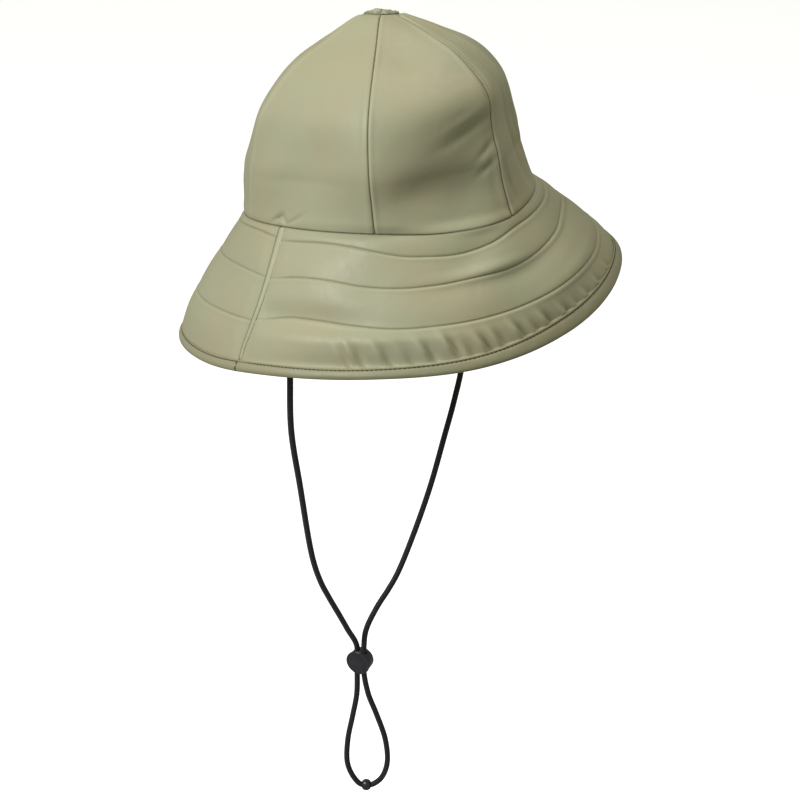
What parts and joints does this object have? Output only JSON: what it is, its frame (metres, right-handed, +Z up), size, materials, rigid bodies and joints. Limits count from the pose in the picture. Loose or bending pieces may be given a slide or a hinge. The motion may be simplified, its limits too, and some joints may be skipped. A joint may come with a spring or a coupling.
{
  "type": "rain hat",
  "caption": "Soft waterproof rain hat: domed crown of sewn panels, long sloping brim with a taped edge, and an elastic chin cord with a cord lock and a bead.",
  "frame": {"origin": "middle of the head opening, in the plane of the seam between crown and brim", "axes": "+Z up, -Y where the wearer looks, +X the wearer's left; the hat is in its worn pose with the back a little lower"},
  "size_m": [0.2819, 0.2951, 0.6121],
  "materials": {
    "coated_fabric": "matt coated waterproof cloth",
    "edge_tape": "matt coated cloth tape with dark stitching",
    "patch_fabric": "puckered coated cloth",
    "elastic_cord": "braided elastic cord",
    "black_plastic": "satin moulded plastic"
  },
  "bodies": {
    "root": {"crown_panel_1": "coated_fabric", "crown_panel_2": "coated_fabric", "crown_panel_3": "coated_fabric", "crown_panel_4": "coated_fabric", "crown_panel_5": "coated_fabric", "crown_panel_6": "coated_fabric", "top_patch": "patch_fabric", "brim_front": "coated_fabric", "brim_back": "coated_fabric", "side_seam_right": "coated_fabric", "side_seam_left": "coated_fabric", "edge_tape": "edge_tape", "cord_anchor_right": "coated_fabric", "cord_anchor_left": "coated_fabric", "chin_cord": "elastic_cord", "cord_lock_body": "black_plastic", "cord_lock_cap": "black_plastic", "loop_bead": "black_plastic"}
  },
  "joints": []
}
